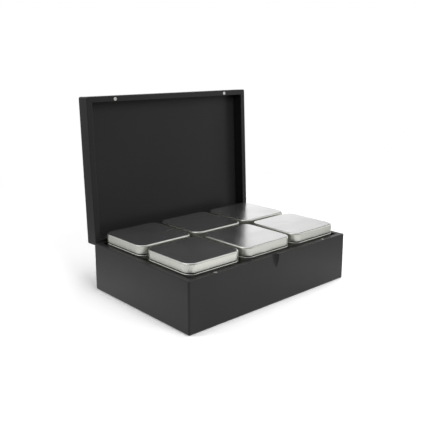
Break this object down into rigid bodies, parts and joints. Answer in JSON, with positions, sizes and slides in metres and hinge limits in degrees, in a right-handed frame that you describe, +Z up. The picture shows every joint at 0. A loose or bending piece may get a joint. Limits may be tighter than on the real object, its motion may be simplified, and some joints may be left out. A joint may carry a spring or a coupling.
{
  "type": "tea canister organizer",
  "caption": "Black lacquered box with a hinged magnetic lid, holding square slip-lid tins for tea in two rows.",
  "frame": {"origin": "centre of the box's underside, on the surface it stands on", "axes": "+X along the front from left to right, +Y to the back where the hinges are, +Z up"},
  "size_m": [0.29, 0.2271, 0.2629],
  "materials": {
    "box_lacquer": "satin black lacquer on fibreboard",
    "divider_board": "matt black paint on thin fibreboard",
    "tinplate": "fine brushed tinplate, clear varnish",
    "hinge_steel": "nickel-plated pressed steel",
    "magnet_nickel": "nickel-plated disc magnet"
  },
  "bodies": {
    "case": {"base_front_wall": "box_lacquer", "base_back_wall": "box_lacquer", "base_left_wall": "box_lacquer", "base_right_wall": "box_lacquer", "base_floor": "box_lacquer", "divider_left": "divider_board", "divider_right": "divider_board", "hinge_left_base_leaf": "hinge_steel", "hinge_left_pin": "hinge_steel", "hinge_right_base_leaf": "hinge_steel", "hinge_right_pin": "hinge_steel", "magnet_base_left": "magnet_nickel", "magnet_base_right": "magnet_nickel"},
    "lid": {"lid_front_rail": "box_lacquer", "lid_back_rail": "box_lacquer", "lid_left_rail": "box_lacquer", "lid_right_rail": "box_lacquer", "lid_panel": "box_lacquer", "hinge_left_lid_leaf": "hinge_steel", "hinge_right_lid_leaf": "hinge_steel", "magnet_lid_left": "magnet_nickel", "magnet_lid_right": "magnet_nickel"},
    "tin_front_left": {"tin_front_left_body": "tinplate", "tin_front_left_bottom": "tinplate"},
    "tin_front_left_cover": {"tin_front_left_lid": "tinplate"},
    "tin_back_left": {"tin_back_left_body": "tinplate", "tin_back_left_bottom": "tinplate"},
    "tin_back_left_cover": {"tin_back_left_lid": "tinplate"},
    "tin_front_middle": {"tin_front_middle_body": "tinplate", "tin_front_middle_bottom": "tinplate"},
    "tin_front_middle_cover": {"tin_front_middle_lid": "tinplate"},
    "tin_back_middle": {"tin_back_middle_body": "tinplate", "tin_back_middle_bottom": "tinplate"},
    "tin_back_middle_cover": {"tin_back_middle_lid": "tinplate"},
    "tin_front_right": {"tin_front_right_body": "tinplate", "tin_front_right_bottom": "tinplate"},
    "tin_front_right_cover": {"tin_front_right_lid": "tinplate"},
    "tin_back_right": {"tin_back_right_body": "tinplate", "tin_back_right_bottom": "tinplate"},
    "tin_back_right_cover": {"tin_back_right_lid": "tinplate"}
  },
  "joints": [
    {"name": "lid_hinge", "type": "hinge", "parent": "case", "child": "lid", "pos_m": [0, 0.0965, 0.0661], "axis": [-1, 0, 0], "range_deg": [-92.5, 0]},
    {"name": "tin_front_left_lift", "type": "slide", "parent": "case", "child": "tin_front_left", "axis": [0, 0, 1], "range_m": [0, 0.085]},
    {"name": "tin_front_left_lid_lift", "type": "slide", "parent": "tin_front_left", "child": "tin_front_left_cover", "axis": [0, 0, 1], "range_m": [0, 0.03]},
    {"name": "tin_back_left_lift", "type": "slide", "parent": "case", "child": "tin_back_left", "axis": [0, 0, 1], "range_m": [0, 0.085]},
    {"name": "tin_back_left_lid_lift", "type": "slide", "parent": "tin_back_left", "child": "tin_back_left_cover", "axis": [0, 0, 1], "range_m": [0, 0.03]},
    {"name": "tin_front_middle_lift", "type": "slide", "parent": "case", "child": "tin_front_middle", "axis": [0, 0, 1], "range_m": [0, 0.085]},
    {"name": "tin_front_middle_lid_lift", "type": "slide", "parent": "tin_front_middle", "child": "tin_front_middle_cover", "axis": [0, 0, 1], "range_m": [0, 0.03]},
    {"name": "tin_back_middle_lift", "type": "slide", "parent": "case", "child": "tin_back_middle", "axis": [0, 0, 1], "range_m": [0, 0.085]},
    {"name": "tin_back_middle_lid_lift", "type": "slide", "parent": "tin_back_middle", "child": "tin_back_middle_cover", "axis": [0, 0, 1], "range_m": [0, 0.03]},
    {"name": "tin_front_right_lift", "type": "slide", "parent": "case", "child": "tin_front_right", "axis": [0, 0, 1], "range_m": [0, 0.085]},
    {"name": "tin_front_right_lid_lift", "type": "slide", "parent": "tin_front_right", "child": "tin_front_right_cover", "axis": [0, 0, 1], "range_m": [0, 0.03]},
    {"name": "tin_back_right_lift", "type": "slide", "parent": "case", "child": "tin_back_right", "axis": [0, 0, 1], "range_m": [0, 0.085]},
    {"name": "tin_back_right_lid_lift", "type": "slide", "parent": "tin_back_right", "child": "tin_back_right_cover", "axis": [0, 0, 1], "range_m": [0, 0.03]}
  ]
}
